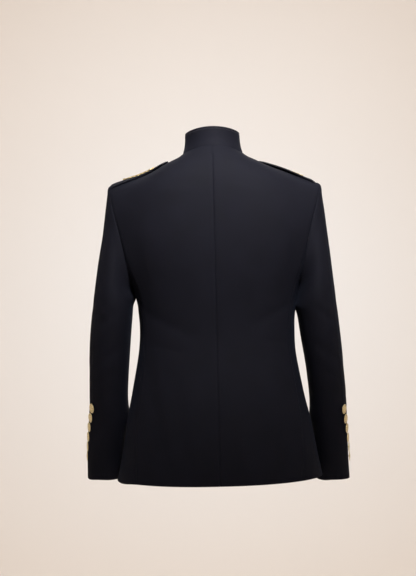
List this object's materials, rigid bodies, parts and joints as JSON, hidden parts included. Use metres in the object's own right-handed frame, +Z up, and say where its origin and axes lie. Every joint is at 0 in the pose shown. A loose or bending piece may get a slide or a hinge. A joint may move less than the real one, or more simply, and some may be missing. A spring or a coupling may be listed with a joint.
{
  "type": "military uniform jacket",
  "caption": "Hip-length stand-collar dress uniform jacket in near-black wool, filled out as if worn, with shoulder straps and domed gold buttons.",
  "frame": {"origin": "middle of the neck opening, level with the points where the shoulder seams meet the collar", "axes": "+Z up the body, -Y the way the wearer faces, +X towards the wearer's left arm"},
  "size_m": [0.5825, 0.2634, 0.7743],
  "materials": {
    "wool": "navy-black wool suiting, smooth, softly pressed",
    "gold": "gilt brass, polished and slightly aged",
    "gold_cord": "gold wire cord, plaited"
  },
  "bodies": {
    "root": {"back_left": "wool", "back_right": "wool", "side_left": "wool", "side_right": "wool", "front_left": "wool", "front_right": "wool", "collar": "wool", "top_sleeve_left": "wool", "top_sleeve_right": "wool", "under_sleeve_left": "wool", "under_sleeve_right": "wool", "epaulette_left": "wool", "epaulette_right": "wool", "epaulette_braid_left": "gold_cord", "epaulette_braid_right": "gold_cord", "epaulette_button_left": "gold", "epaulette_button_right": "gold", "cuff_button_left_1": "gold", "cuff_button_left_2": "gold", "cuff_button_left_3": "gold", "cuff_button_left_4": "gold", "cuff_button_left_5": "gold", "cuff_button_left_6": "gold", "cuff_button_right_1": "gold", "cuff_button_right_2": "gold", "cuff_button_right_3": "gold", "cuff_button_right_4": "gold", "cuff_button_right_5": "gold", "cuff_button_right_6": "gold", "front_button_1": "gold", "front_button_2": "gold", "front_button_3": "gold", "front_button_4": "gold", "front_button_5": "gold", "front_button_6": "gold", "front_button_7": "gold"}
  },
  "joints": []
}
